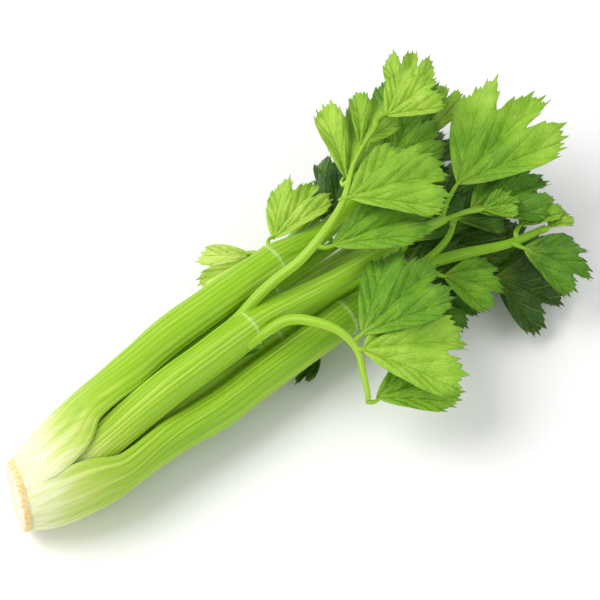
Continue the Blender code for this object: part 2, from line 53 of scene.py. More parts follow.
# x, apex radius from the ring's middle, arc radius, half angle and thickness
WHORLS = {
    "outer": ((6, 22.5, 22.5, 57, 4.2), (13, 26.5, 26, 57, 4.4), (20, 29.2, 28, 57, 4.6),
              (30, 31.2, 29, 56, 5.0), (40, 32.8, 28, 55, 5.3), (60, 35.6, 22, 58, 6.0)),
    "middle": ((6, 17.8, 17.8, 56, 4.2), (13, 21.4, 21.2, 56, 4.2), (20, 24.0, 23, 54, 4.4),
               (30, 25.6, 22, 48, 4.6), (40, 26.4, 20, 42, 5.0), (60, 28.6, 17, 42, 5.6)),
    "inner": ((6, 13.0, 13.0, 54, 3.6), (13, 16.4, 16.0, 52, 3.8), (20, 18.6, 17, 48, 4.0),
              (30, 19.6, 16, 44, 4.2), (40, 20.0, 14, 42, 4.4), (60, 20.4, 11, 52, 4.6)),
}
# x, arc radius, half angle and thickness
FREE = {
    "outer": ((80, 18.2, 60, 6.6), (105, 13.6, 80, 7.0), (130, 13.4, 81, 7.0), (160, 13.2, 82, 7.0)),
    "middle": ((80, 14.5, 56, 6.2), (105, 12.6, 74, 6.8), (130, 12.5, 75, 6.8), (160, 12.4, 76, 6.8)),
    "inner": ((80, 9.6, 66, 4.8), (105, 9.0, 74, 5.0), (130, 8.7, 75, 5.0), (160, 8.4, 76, 5.0)),
}
WRAPPED = (20.0, 60.0)  # x over which the stalks stop touching side by side
SQUARE = (12.0, 34.0)  # x over which sections turn from square to the head to square to their stalk
SPREAD = (52.0, 127.0)  # x over which the stalks go from the ring to their own places
JOINT_REACH = 5  # how far before and past its node ring a stalk has a row
# for each stalk: whorl, angle in the whorl, own place (y, z from the ring's middle), own angle, x of the
# node ring, and the rachis beyond it: x, y, z of its middle and its radius
STALKS = {
    "a": ("outer", 58, (15, 22.5), 88, 214,
          ((242, 9, 57, 8.0), (266, 9, 58, 6.0), (306, 18, 62, 4.2), (342, 32, 66, 2.6))),
    "b": ("middle", 118, (-11.3, 21.2), 118, 171,
          ((205, -21, 58, 8.2), (240, -27, 60, 6.4), (283, -31, 61, 4.6), (318, -36, 60, 3.0))),
    "c": ("outer", 178, (-30, -2.8), 150, 232,
          ((258, -37, 36, 6.5), (282, -40, 38, 4.2), (316, -54, 42, 3.6), (344, -70, 46, 2.8),
           (368, -77, 48, 2.2))),
    "d": ("middle", 238, (-13, -22.6), 240, 218,
          ((250, -26, 14, 7.0), (285, -42, 14, 4.6), (318, -62, 16, 2.8))),
    "e": ("outer", 298, (13, -22.0), 298, 224,
          ((256, 8, 14, 7.0), (296, 8, 15, 4.6), (342, 2, 17, 2.8))),
    "f": ("middle", 358, (28.5, -1.5), 360, 208,
          ((242, 27, 33, 6.6), (284, 38, 34, 4.4), (322, 48, 34, 2.6))),
    "g": ("inner", 58, (7, 10.5), 68, 205,
          ((236, 4, 44, 5.0), (272, 4, 43, 3.4), (304, 10, 46, 2.2))),
    "h": ("inner", 178, (-13, -1), 170, 190,
          ((226, -23, 36, 5.0), (262, -26, 37, 3.4), (296, -24, 38, 2.2))),
    "i": ("inner", 298, (5, -10), 298, 212,
          ((246, -2, 28, 5.0), (286, -6, 30, 3.4), (330, -12, 34, 2.2))),
}
EDGE_LIP = 1.2  # of the stalk's edges over its hollow back
BACK_SPAN = 0.9  # part of the width that the hollow back takes
RING_DROP = 0.7  # how much slimmer the stalk is past its node
RACHIS_HALF, RACHIS_DEPTH = 100, 1.7  # half angle, and thickness as part of the radius
# radius and x of the crown's profile
CROWN = ((0, 5.6), (21.6, 5.6), (22.0, 4.6), (21.9, 2.6), (21.2, 0.9), (20.2, 0.2), (18.6, 0.0), (9, 0.5),
         (0, 0.7))
# x, y, z and radius along each young stalk, and along each branch
HEART = (
    ((7.4, -4, 28, 4.4), (40, -10, 35, 4.4), (85, -9, 38.5, 3.8), (118, -11, 42, 3.0), (134, -13, 44, 2.0)),
    ((7.4, -2, 27, 4.2), (40, -8.5, 32, 4.2), (85, -6, 33.5, 3.6), (130, -5, 32, 2.8), (158, -6, 30, 1.8)),
    ((7.4, -5, 25, 4.0), (40, -11.5, 31.5, 3.8), (85, -11, 33, 3.2), (125, -14, 33, 2.2),
     (150, -16, 33, 1.2)),
)
BRANCHES = {
    "b": (
        ((160, -11, 61, 3.3), (172, -10, 65, 3.5), (184, -9, 69, 3.5), (198, -10, 75.5, 3.3),
         (215, -13, 83, 3.1), (233, -12, 91, 2.7), (256, -5, 96, 2.2), (284, 14, 97, 1.7),
         (320, 31, 93, 1.2)),
        ((161, -25.5, 58, 3.0), (173, -28, 61, 3.3), (188, -33, 67, 3.4), (199, -48, 71, 3.1),
         (206, -62, 69, 2.6), (208, -74, 62.5, 2.3), (203, -86, 55, 2.0), (197, -98, 47, 1.6)),
    ),
    "c": (((292, -43, 40, 2.4), (318, -40, 45, 2.2), (330, -34, 48, 1.4)),),
}
# for each leaf: stem, base, tip, width, droop, cup, depth of the cuts between lobes, teeth, and tone from
# deep green (0) to bright yellow green (1), partly its own colour and partly painted shade on low leaves
LEAFLETS = {
    "b1": ("b", (263, -4, 97), (331, -26, 87), 0.75, 30, 25, 0.5, 15, 0.8),
    "b2": ("b", (236, -19, 86), (310, -34, 74), 0.5, 25, 25, 0.5, 15, 0.66),
    "b3": ("b", (274, 14, 88), (324, 62, 84), 0.7, 30, 25, 0.6, 15, 1.0),
    "b4": ("b", (326, 34, 92), (371, 34, 96), 0.85, 20, 15, 0.5, 15, 0.95),
    "b5": ("b", (302, 28, 88), (342, 52, 85), 0.7, 20, 15, 0.5, 9, 0.85),
    "t1": ("a", (350, 40, 74), (388, 71, 82), 0.6, 20, 20, 0.9, 15, 0.95),
    "t2": ("a", (330, 38, 58), (394, 66, 58), 0.55, 25, 25, 0.6, 15, 0.55),
    "t3": ("a", (354, 22, 56), (407, 50, 56), 0.5, 20, 20, 0.6, 9, 0.9),
    "t4": ("a", (312, 12, 74), (368, 22, 74), 0.6, 20, 20, 0.5, 15, 0.7),
    "t5": ("a", (324, 14, 62), (375, 25, 56), 0.7, 20, 20, 0.5, 9, 0.25),
    "r1": ("b", (339, -24, 66), (427, -13, 77), 0.74, 15, 20, 0.9, 15, 0.92),
    "r2": ("b", (336, -40, 58), (394, -55, 56), 0.8, 20, 20, 0.7, 15, 0.48),
    "r3": ("b", (340, -47, 62), (363, -60, 54), 0.8, 20, 20, 0.5, 9, 0.7),
    "r4": ("c", (329, -36, 50), (362, -49, 46), 0.9, 20, 20, 0.5, 9, 0.3),
    "r5": ("c", (370, -78, 48), (391, -76, 44), 0.8, 20, 20, 0.5, 9, 0.88),
    "r6": ("c", (356, -66, 50), (388, -62, 48), 0.8, 20, 20, 0.5, 9, 0.75),
    "c1": ("c", (346, -79, 48), (371, -119, 34), 0.8, 30, 25, 0.6, 15, 0.48),
    "c2": ("c", (298, -57, 38), (324, -90, 31), 0.85, 30, 25, 0.5, 15, 0.62),
    "c3": ("d", (334, -74, 20), (359, -113, 9), 1.2, 20, 20, 0.7, 15, 0.02),
    "c4": ("d", (288, -55, 24), (309, -84, 16), 0.9, 20, 20, 0.5, 15, 0.32),
    "e1": ("b", (213, -78, 62), (270, -109, 50), 1.0, 30, 25, 0.6, 15, 0.88),
    "e2": ("b", (217, -69, 64), (290, -60, 54), 0.7, 25, 20, 0.6, 15, 0.58),
    "e3": ("b", (200, -101, 44), (258, -121, 38), 0.65, 25, 20, 0.7, 15, 0.8),
    "a1": ("a", (222, 24, 62), (276, 40, 60), 0.66, 20, 20, 0.7, 15, 0.98),
    "f1": ("f", (217, 41, 33), (180, 55, 17), 0.8, 25, 20, 0.7, 15, 1.25),
    "f2": ("f", (327, 50, 34), (385, 70, 28), 0.7, 20, 20, 0.6, 9, 0.4),
    "f3": ("f", (290, 49, 27), (326, 66, 16), 0.7, 25, 20, 0.6, 9, 0.25),
    "g1": ("g", (264, 14, 48), (304, 46, 46), 0.7, 20, 20, 0.6, 15, 0.12),
    "g2": ("g", (308, 10, 47), (366, 14, 46), 0.6, 20, 20, 0.5, 9, 0.25),
    "h1": ("h", (254, -29, 27), (283, -46, 25), 0.6, 10, 10, 0.5, 9, 0.35),
    "h2": ("h", (300, -23, 38), (360, -18, 36), 0.6, 20, 20, 0.5, 9, 0.3),
    "i1": ("i", (334, -13, 34), (392, -30, 34), 0.7, 20, 20, 0.5, 9, 0.35),
    "i3": ("i", (322, -18, 27), (366, -46, 26), 0.9, 15, 20, 0.5, 9, 0.22),
    "i2": ("i", (292, 2, 28), (340, 25, 22), 0.6, 20, 20, 0.5, 9, 0.35),
    "h3": ("h", (290, -33, 33), (332, -58, 27), 0.8, 15, 20, 0.5, 9, 0.25),
    "d1": ("d", (322, -62, 13), (388, -66, 12), 0.6, 15, 20, 0.5, 9, 0.35),
    "d2": ("d", (212, -37, 9), (186, -42, 7), 0.5, 15, 15, 0.6, 9, 0.25),
    "e4": ("e", (346, 1, 17), (410, -10, 12), 0.7, 15, 20, 0.5, 9, 0.4),
    "e5": ("e", (296, 18, 14), (335, 48, 8), 0.7, 15, 20, 0.5, 9, 0.4),
    "e6": ("e", (304, -2, 14), (345, -35, 8), 0.6, 15, 20, 0.5, 9, 0.35),
    "heart1": ("heart", (139, -14, 46), (184, -25, 49), 0.35, 10, 10, 0.5, 9, 0.65),
    "heart2": ("heart", (162, -6, 30), (205, -8, 26), 0.5, 10, 20, 0.5, 9, 0.65),
}
TWIG_RADIUS, TWIG_END = 1.5, 0.8  # and the part of it that is left at the blade
TWIG_BACK, TWIG_BEND = 6.0, 0.65  # how far behind the blade a twig aims, and how far out it bends
# how much a leaf was lifted at its tip, rolled and drooped to keep clear of the others
CHANGES = {
    "b3": (-5, 25, -18), "b5": (0, 25, 0), "t3": (-5, 0, -18), "t4": (-10, 25, -18), "t5": (-10, 0, 0),
    "r3": (10, 0, 0), "r5": (0, 0, 18), "c4": (0, 12, 0), "e2": (10, 0, 0), "a1": (0, -12, 0),
    "f1": (0, -25, 0), "g2": (-5, 0, -18), "i1": (-5, 0, -18), "h3": (5, 0, -18), "d1": (0, 25, 0),
}
# how far a fine blade is moved from its solid, and how much it is grown, to lie as in the photo
NUDGES = {
    "e1": (-3, 1.5, 0.3, 1.06), "b3": (2.3, -2, 0, 1.0), "f1": (3.5, -2.5, -1, 1.0),
    "a1": (1.9, -1.6, 0, 1.0), "c3": (-2, 3, 1, 1.04), "e3": (1, 1.2, 1.1, 1.0),
    "t3": (-2.8, 2.5, 0, 1.0), "b4": (1.9, -1.6, 0, 1.0), "i3": (0, 0, 0, 1.16),
    "e6": (-6, 0, 0, 1.15), "h3": (-4, 0, 0, 1.1), "r6": (0, 0, 0, 1.1), "r1": (0, 0, 0, 1.03),
    "c1": (0, 0, 0, 1.02),
}
# angle from the midrib, and how far out the margin lies there as part of the length
OUTLINE = ((0, 1.0), (8, 0.95), (16, 0.90), (26, 0.93), (36, 0.93), (44, 0.84), (50, 0.66), (55, 0.44),
           (59, 0.24), (63, 0.09))
NOTCH = (16.0, 9.0, 0.30)  # angle, half width and depth of the cut between lobes
# angles of the plain blade's teeth, by their count
TEETH = {15: (0, 6, 11.5, 20, 26, 32, 38, 44), 9: (0, 9, 21, 32, 43)}
SIDE_LOBE = 34.0  # angle of a side lobe's midrib
PLEAT = 0.05  # height of the fold along each lobe, as part of the length
WAVE, WAVES, WAVE_STEP = 0.035, 5, 2.4  # the blade's waves: height, number, and phase from leaf to leaf


def cubic(t, step, start, end, rise, fall):
    """The cubic from start to end with these slopes there, at t of its step."""
    return (
        (1 + 2 * t) * (1 - t) ** 2 * start + t * t * (3 - 2 * t) * end
        + step * t * (1 - t) * ((1 - t) * rise - t * fall)
    )


def smooth(knots, values, at):
    """The cubic curve through values at rising knots, read at one place or at many."""
    knots, values, at = (np.asarray(v, float) for v in (knots, values, at))
    slopes = np.gradient(values, knots, axis=0)
    i = np.clip(np.searchsorted(knots, at) - 1, 0, len(knots) - 2)
    step = knots[i + 1] - knots[i]
    t = (at - knots[i]) / step
    if at.ndim and values.ndim > 1:
        step, t = step[:, None], t[:, None]
    return cubic(t, step, values[i], values[i + 1], slopes[i], slopes[i + 1])


def ramp(value, low, high):
    """0 below low, 1 above high and a smooth rise between them."""
    t = np.clip((value - low) / (high - low), 0, 1)
    return t * t * (3 - 2 * t)


def unit(rows):
    return rows / np.linalg.norm(rows, axis=-1, keepdims=True)


def travelled(line):
    """How far along a line each of its points is."""
    return np.concatenate([[0], np.cumsum(np.linalg.norm(np.diff(line, axis=0), axis=1))])


def facing(degrees):
    """Directions at these angles across the head, as rows."""
    turn = np.radians(degrees)
    return np.stack([0 * turn, np.cos(turn), np.sin(turn)], axis=1)


def ring_middle(x):
    rows = np.array(RING, float)
    return np.array([x, *smooth(rows[:, 0], rows[:, 1:], min(x, RING[-1][0]))])


def stalk_rows(name):
    """Rows of a stalk from butt to tip: arc centre x, y, z, outward angle, radius, half angle, thickness."""
    whorl, angle, place, turn, joint, rachis = STALKS[name]
    outward = np.array([0, math.cos(math.radians(angle)), math.sin(math.radians(angle))])
    rows = []
    for x, apex, radius, half, thick in WHORLS[whorl]:
        near = (apex - radius) * outward
        rows.append([*(ring_middle(x) + near), angle, radius, half, thick])
    far = np.array([0, *place])
    free = np.array(FREE[whorl], float)
    joints = [joint - JOINT_REACH, joint, joint + JOINT_REACH]
    for x in [row[0] for row in free if row[0] < joint - 2 * JOINT_REACH] + joints:
        t = ramp(x, *SPREAD)
        radius, half, thick = (np.interp(x, free[:, 0], free[:, k]) for k in (1, 2, 3))
        radius -= RING_DROP if x > joint else 0
        middle = ring_middle(x) + near + (far - near) * t
        rows.append([*middle, angle + (turn - angle) * t, radius, half, thick])
    for x, y, z, radius in rachis:
        rows.append([x, y, z, turn, radius, RACHIS_HALF, RACHIS_DEPTH * radius])
    return np.array(rows)


def placed(points):
    """Points of this file's millimetres, with the butt turned aside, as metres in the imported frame."""
    points = np.array(points, float)
    ring = np.array(RING, float)
    part = 1 - ramp(points[:, 0], *YAWED)
    turn, lean = math.radians(YAW) * part, math.radians(PITCH) * part
    middle, height = (np.interp(points[:, 0], ring[:, 0], ring[:, k]) for k in (1, 2))
    away, above = points[:, 1] - middle, points[:, 2] - height
    points[:, 0] += away * np.sin(turn) + above * np.sin(lean)
    points[:, 1] = middle + away * np.cos(turn)
    points[:, 2] = height + above * np.cos(lean)
    return (points - (*REST, 0)) * MM


def linked(name, data):
    obj = bpy.data.objects.new(name, data)
    bpy.context.scene.collection.objects.link(obj)
    return obj


def new_mesh(name, points, faces, uv=None, **attributes):
    """An object of these points in millimetres, with its float attributes and a UV map in millimetres."""
    mesh = bpy.data.meshes.new(name)
    mesh.from_pydata([tuple(p) for p in placed(points)], [], [tuple(int(i) for i in f) for f in faces])
    for key, values in attributes.items():
        layer = mesh.attributes.new(key, "FLOAT", "POINT")
        layer.data.foreach_set("value", np.ascontiguousarray(values, np.float32))
    if uv is not None:
        layer = mesh.uv_layers.new(name="sheet")
        corners = np.empty(len(mesh.loops), np.int32)
        mesh.loops.foreach_get("vertex_index", corners)
        layer.data.foreach_set("uv", np.ascontiguousarray(np.asarray(uv, np.float32)[corners]).ravel())
    mesh.shade_smooth()
    return linked(name, mesh)


class Shape:
    """Closed shells gathered into one mesh, with the attributes of their points."""

    KEYS = ("along", "groove", "inside", "node", "band")

    def __init__(self):
        self.points, self.faces, self.uv = [], [], []
        self.values = {key: [] for key in self.KEYS}
        self.count = 0

    def add(self, points, faces, uv, **values):
        self.faces.extend(tuple(i + self.count for i in face) for face in faces)
        self.points.append(points)
        self.uv.append(uv)
        for key in self.KEYS:
            self.values[key].append(np.broadcast_to(values.get(key, 0.0), len(points)))
        self.count += len(points)

    def mesh(self, name):
        values = {key: np.concatenate(rows) for key, rows in self.values.items()}
        return new_mesh(name, np.concatenate(self.points), self.faces, np.concatenate(self.uv), **values)


def tunnel(rings, count):
    """Faces of a closed loft of rings of count points each, with a flat cap at both ends."""
    faces = [tuple(range(count - 1, -1, -1)), tuple(range((rings - 1) * count, rings * count))]
    for k in range(rings - 1):
        for i in range(count):
            j = (i + 1) % count
            faces.append((k * count + i, k * count + j, (k + 1) * count + j, (k + 1) * count + i))
    return faces


# Stalks

RIBS = {"outer": 12, "middle": 10, "inner": 6}
RIB_POINTS = 9
RIB_WIDTHS = (0.55, 1.5)
RIB_HEIGHTS = (0.35, 1.0)
RIB_ROUND, RIB_CREASE = 0.6, 0.4  # parts of a rib's height in its back and in the crease
CREASE_POWER, TONE_POWER = 10, 4  # the higher, the narrower the crease and the edge of its tone
BACK_POINTS = 28
LIP_POINTS = 5
LIP_PULL = 1.6  # how full the lips between skin and back are
STEP = 2.4  # between stations of a stalk
NODE_STEPS = np.linspace(-4, 4, 21)
NODE_CLEAR = 5  # how near its node a stalk has only these stations
NODE_SWELL, NODE_WIDTH = 0.5, 1.0
RIB_DEPTH = 0.6
RIB_FULL = 12.0  # arc radius below which the ribs are lower
RIB_RISE = (12.0, 75.0)  # x from where to where the ribs grow out of the smooth butt
RIB_START = 0.35  # part of the ribs' depth at the butt
CLOSED = 2.6  # how many degrees wider the middle and inner whorls' stalks are at the butt
# how much nearer to its green part a stalk's colours start
RIPER = {"a": -1.0, "b": 2.0, "c": 9.0}
MEETING = 60.8  # half angle from the ring's middle at which neighbours of the outer whorl meet
BUTT = 5.0  # x of the fine stalks' start, in the crown
FLOOR = 0.03  # nothing reaches lower
UNEVEN = (0.5, 0.04, 0.12)  # slow swells of the skin: height, how often along and round the stalk
UNEVEN_STEP = 3.7  # between the swells of one stalk and the next
LEAST_RADIUS = 4  # for the swells' height


def skin_profile(whorl, seed):
    """For each point across the skin: its turn, its part of the rib depth, the painted shade in its crease
    and its rib's tone.
    """
    ribs = RIBS[whorl]
    draw = np.random.default_rng(seed)
    edges = np.concatenate([[0], np.cumsum(draw.uniform(*RIB_WIDTHS, ribs))])
    steps = np.arange(ribs * RIB_POINTS + 1) / RIB_POINTS
    turns = 2 * np.interp(steps, np.arange(ribs + 1), edges / edges[-1]) - 1
    band = np.minimum(steps.astype(int), ribs - 1)
    wave = np.abs(np.cos(math.pi * steps))
    height = draw.uniform(*RIB_HEIGHTS, ribs)[band]
    crease = wave**CREASE_POWER
    tone = draw.uniform(-1, 1, ribs)[band] * (1 - wave**TONE_POWER)
    return turns, 1 - (1 - RIB_ROUND * wave**2 - RIB_CREASE * crease) * height, crease * height, tone


def outline(radius, half, thick, depth, turns, sunk):
    """Outline of a stalk about its arc's centre: skin, lip, hollow back, lip. Rows of (u, v)."""
    drop = min(EDGE_LIP, radius / 4)
    edge, rim = radius * math.cos(half), radius * math.sin(half)
    skin = radius - depth * sunk
    front = np.stack([skin * np.sin(half * turns), skin * np.cos(half * turns)], axis=1)
    hollow = radius - thick - edge + drop
    t = np.linspace(BACK_SPAN, -BACK_SPAN, BACK_POINTS)
    back = np.stack([rim * t, edge - drop + hollow * (1 - (t / BACK_SPAN) ** 2)], axis=1)
    lips = []
    for start, end, before, after in ((front[-1], back[0], front[-1] - front[-2], back[1] - back[0]),
                                      (back[-1], front[0], back[-1] - back[-2], front[1] - front[0])):
        pull = LIP_PULL * np.linalg.norm(end - start)
        t = np.linspace(0, 1, LIP_POINTS + 2)[1:-1, None]
        lips.append(cubic(t, 1, start, end, pull * unit(before), pull * unit(after)))
    return np.concatenate([front, lips[0], back, lips[1]])


def stalk_stations(name):
    """Fine stations of a stalk: rows as in stalk_rows, distance gone, and distance from its node."""
    rows = stalk_rows(name)
    joint = STALKS[name][4]
    gone = travelled(rows[:, :3])
    node = gone[np.argmin(np.abs(rows[:, 0] - joint))]
    places = np.linspace(0, gone[-1], int(gone[-1] / STEP))
    places = places[np.abs(places - node) > NODE_CLEAR]
    places = np.sort(np.concatenate([places, node + NODE_STEPS]))
    fine = smooth(gone, rows, places)
    fine[0, 0] = BUTT
    return fine, places, places - node


def closing(whorl, rows):
    """How much wider in degrees than its solid a stalk is at the butt, where neighbours meet."""
    wrapped = 1 - ramp(rows[:, 0], *WRAPPED)
    if whorl != "outer":
        return CLOSED * wrapped
    shift = np.linalg.norm(rows[:, 1:3] - [ring_middle(x)[1:] for x in rows[:, 0]], axis=1)
    part = np.clip(shift * math.sin(math.radians(MEETING)) / rows[:, 4], 0, 1)
    meeting = MEETING + np.degrees(np.arcsin(part))
    return wrapped * np.clip(meeting - rows[:, 5], 0, None)


def add_stalk(name):
    whorl = STALKS[name][0]
    seed = sorted(STALKS).index(name)
    turns, sunk, crease, tone = skin_profile(whorl, seed)
    rows, places, from_node = stalk_stations(name)
    ring = np.exp(-(from_node / NODE_WIDTH) ** 2)
    out = facing(rows[:, 3])
    inset = (rows[:, 4] - rows[:, 6] / 2)[:, None]
    flesh = rows[:, :3] + inset * out
    free = ramp(rows[:, 0], *SQUARE)[:, None]
    along = unit(free * unit(np.gradient(flesh, axis=0)) + (1 - free) * np.array([1.0, 0, 0]))
    out = unit(out - (out * along).sum(1, keepdims=True) * along)
    middles = flesh - inset * out
    rows[:, 4] += NODE_SWELL * ring
    rows[:, 5] += closing(whorl, rows)
    side = np.cross(along, out)
    rest = np.zeros(2 * LIP_POINTS + BACK_POINTS)
    across = np.concatenate([crease, rest])
    depths = RIB_DEPTH * np.minimum(1, rows[:, 4] / RIB_FULL)
    depths *= RIB_START + (1 - RIB_START) * ramp(rows[:, 0], *RIB_RISE)
    points, uv = [], []
    for k, (x, _, _, _, radius, half, thick) in enumerate(rows):
        shape = outline(radius, math.radians(half), thick, depths[k], turns, sunk)
        girth = travelled(shape)
        swell = [noise.noise((x * UNEVEN[1], g * UNEVEN[2], UNEVEN_STEP * seed)) for g in girth]
        shape = shape * (1 + UNEVEN[0] * np.array(swell)[:, None] / max(radius, LEAST_RADIUS))
        points.append(middles[k] + shape[:, :1] * side[k] + shape[:, 1:] * out[k])
        uv.append(np.stack([girth, np.full(len(shape), places[k])], axis=1))
    count = len(points[0])
    points = np.concatenate(points)
    points[:, 2] = np.maximum(points[:, 2], FLOOR)
    shape = Shape()
    shape.add(
        points, tunnel(len(rows), count), np.concatenate(uv),
        along=np.repeat(rows[:, 0], count) + RIPER.get(name, 0.0),
        # painted shade in the creases between the ribs, fuller where the ribs are deeper
        groove=np.outer(depths / RIB_DEPTH, across).ravel(),
        band=np.tile(np.concatenate([tone, rest]), len(rows)),
        inside=np.tile(np.concatenate([0 * crease, rest + 1]), len(rows)), node=np.repeat(ring, count),
    )
    for route in BRANCHES.get(name, ()):
        add_tube(shape, route, BRANCH_SIDES, BRANCH_FLARE)
    for leaf in carried(name):
        add_tube(shape, twig(leaf), TWIG_SIDES, TWIG_FLARE)
    return shape.mesh(f"stalk_{name}_fine")


# Branches, twigs and heart

TUBE_STEP, TUBE_LEAST = 1.8, 6  # between a tube's stations, and the least number of them
TUBE_RIBS, TUBE_RIB_DEPTH = 5, 0.07
TUBE_GROOVE_SHADE, TUBE_TONE = 0.5, 0.7  # how much painted shade the grooves get, and how light the rest is
TUBE_UP = np.array([0.1, 0.2, 1.0])  # roughly which way a tube's first point faces
TUBE_END, TUBE_TIP = 1.2, 0.02  # length of the rounded end, as part of the radius there, and its last section
FLARE_LENGTH = 7.0
BRANCH_SIDES, BRANCH_FLARE = 22, 1.35
TWIG_SIDES, TWIG_FLARE, HEART_TWIG_FLARE = 14, 1.25, 1.2
HEART_SIDES = 30
TWIG_LAST = 0.9  # part of a stem's stretch that twigs may leave from
# parts of the midrib's length that a twig runs on to, and its radius there
TWIG_INTO, TWIG_THIN = (0.07, 0.15), (0.75, 0.35)
TWIG_SINK = -0.006  # height of the twig's middle there, as part of the length


def add_tube(shape, route, sides, flare):
    """A tapering branch through x, y, z, radius rows, wider at its foot, with low ribs."""
    route = np.array(route, float)
    gone = travelled(route[:, :3])
    places = np.linspace(0, gone[-1], max(TUBE_LEAST, int(gone[-1] / TUBE_STEP)))
    rows = smooth(gone, route, places)
    radius = rows[:, 3] * (1 + (flare - 1) * np.exp(-(places / FLARE_LENGTH) ** 2))
    last = gone[-1] - places
    radius *= np.sqrt(np.clip(1 - (1 - np.minimum(last / (TUBE_END * radius[-1]), 1)) ** 2, TUBE_TIP, 1))
    along = unit(np.gradient(rows[:, :3], axis=0))
    out = unit(TUBE_UP - (along @ TUBE_UP)[:, None] * along)
    side = np.cross(along, out)
    turns = np.linspace(0, 2 * math.pi, sides, endpoint=False)
    low = 0.5 + 0.5 * np.cos(TUBE_RIBS * turns)
    across = radius[:, None] * (1 - TUBE_RIB_DEPTH * low)
    points = (
        rows[:, None, :3] + (across * np.sin(turns))[:, :, None] * side[:, None]
        + (across * np.cos(turns))[:, :, None] * out[:, None]
    ).reshape(-1, 3)
    uv = np.stack([np.tile(turns * radius.mean(), len(rows)), np.repeat(places, sides)], axis=1)
    # the grooves between the tube's low ribs are marked for painted shade
    shape.add(points, tunnel(len(rows), sides), uv, along=points[:, 0],
              groove=TUBE_GROOVE_SHADE * np.tile(low**3, len(rows)), band=TUBE_TONE)


def stem_lines(name):
    """The lines that twigs leave from: a stalk's rachis, in its flesh, and its branches."""
    if name == "heart":
        return [np.array(route)[:, :3] for route in HEART]
    rows = stalk_rows(name)[-len(STALKS[name][5]) - 1:]
    flesh = rows[:, :3] + (rows[:, 4] - rows[:, 6] / 2)[:, None] * facing(rows[:, 3])
    return [flesh] + [np.array(branch)[:, :3] for branch in BRANCHES.get(name, ())]


def carried(stem):
    return [name for name, row in LEAFLETS.items() if row[0] == stem]


def twig(name):
    """Route of the branch that carries a leaflet, from the nearest stem line on into the blade's midrib."""
    stem, base, tip = LEAFLETS[name][:3]
    base, tip = np.array(base, float), np.array(tip, float)
    back = base - TWIG_BACK * unit(tip - base)
    best = None
    for line in stem_lines(stem):
        for a, b in zip(line, line[1:]):
            t = np.clip((back - a) @ (b - a) / ((b - a) @ (b - a)), 0, TWIG_LAST)
            foot = a + t * (b - a)
            gap = np.linalg.norm(foot - back)
            if best is None or gap < best[0]:
                best = (gap, foot)
    foot = best[1]
    middle = foot + TWIG_BEND * (back - foot)
    rib = leaf_points(POSES[name], np.array(TWIG_INTO), np.array([0.0, 0.0]), TWIG_SINK)
    return [(*foot, TWIG_RADIUS), (*middle, TWIG_RADIUS), (*base, TWIG_END * TWIG_RADIUS),
            *((*spot, radius) for spot, radius in zip(rib, TWIG_THIN))]


def add_heart():
    shape = Shape()
    for route in HEART:
        add_tube(shape, route, HEART_SIDES, 1.0)
    for leaf in carried("heart"):
        add_tube(shape, twig(leaf), TWIG_SIDES, HEART_TWIG_FLARE)
    return shape.mesh("heart_fine")


# Leaflets

COLUMN_STEP = {15: 0.85, 9: 1.25}
BLADE_ROWS = {15: 27, 9: 18}
ROW_POWER = 0.92  # under 1, the rows are closer at the margin
MARK_GAP = 0.3  # part of the step beside a tooth's own angle that is left free
START = 0.4  # distance of the blade's first points from its base
VALLEY = 0.6  # where between two fine teeth the cut is deepest
FINE_TEETH = {15: 2, 9: 3}  # for each main tooth
MAIN_DEPTH, FINE_DEPTH = 0.045, 0.05
TIP_CUTS, VALLEY_CUTS = (0.0, 0.3), (0.5, 1.2)  # ranges, as parts of the fine depth
TOOTH_REACH = 0.7  # part of the way out from which the teeth show
BLADE_THICK, MARGIN_THICK = 0.42, 0.22
VEIN_SLANT = 2.1  # how far a side vein runs along its main vein for each step off it
VEIN_CLEAR = (0.8, 4.5)  # degrees from the line between two lobes where side veins start to show
VEIN_TAPER = 0.25  # the main veins' width at a lobe's tip, as part of that at the base
LOBE_SLACK = 2  # degrees past a side lobe's midrib that its teeth may be
QUILT = 0.6  # height of the blade's swells between side veins
CRINKLE = (0.6, 0.11)  # height and frequency of the blade's crinkles
FINE_CRINKLE = (0.5, 0.31)  # the same, its height as part of the others'
RIDGE, RIDGE_WIDTH = 0.55, 0.8  # how far the main veins stand out underneath
SUNK = 0.25  # how far they sink in the upper side, as part of the ridge
RUFFLE, RUFFLES, RUFFLE_TURN = 0.025, 9, 3  # height, number and share of the leaf's phase
SWELL = (2.2, 0.040)  # height and frequency of the blade's broad swells
FINE_SEED, SWELL_SEED = 5, 11  # from the noise of the crinkles to these
QUILT_CLEAR = 2.0  # distance from a main vein at which the swells between side veins are full
# parts of the length over which these grow or fade
QUILT_RISE, CRINKLE_RISE, SWELL_RISE = (0.05, 0.3), (0.02, 0.3), (0.1, 0.7)
RIDGE_FALL, FOOT, FOOT_SHADE_FALL = (0.3, 0.95), (0.02, 0.35), (0.3, 0.8)
MARGIN = (0.8, 1.0)  # parts of the way out over which the blade thins
FOLD = 0.045  # how much deeper the lobes are folded than the plain blade's
LEAF_SEED = 7.3  # between the noise of one leaflet and the next
# painted shade: how much darker than its tone each of these leaflets is painted towards its foot
FOOT_SHADE = {"r1": 0.32, "c1": 0.10, "b3": 0.15, "e3": 0.15}
# side veins below those of the teeth: step between them, as part of the length, and number
BLADE_SPACING, BASE_VEINS = 0.17, 11
UNDER_SHIFT = 200.0  # between the upper side's place in the UV map and the under side's


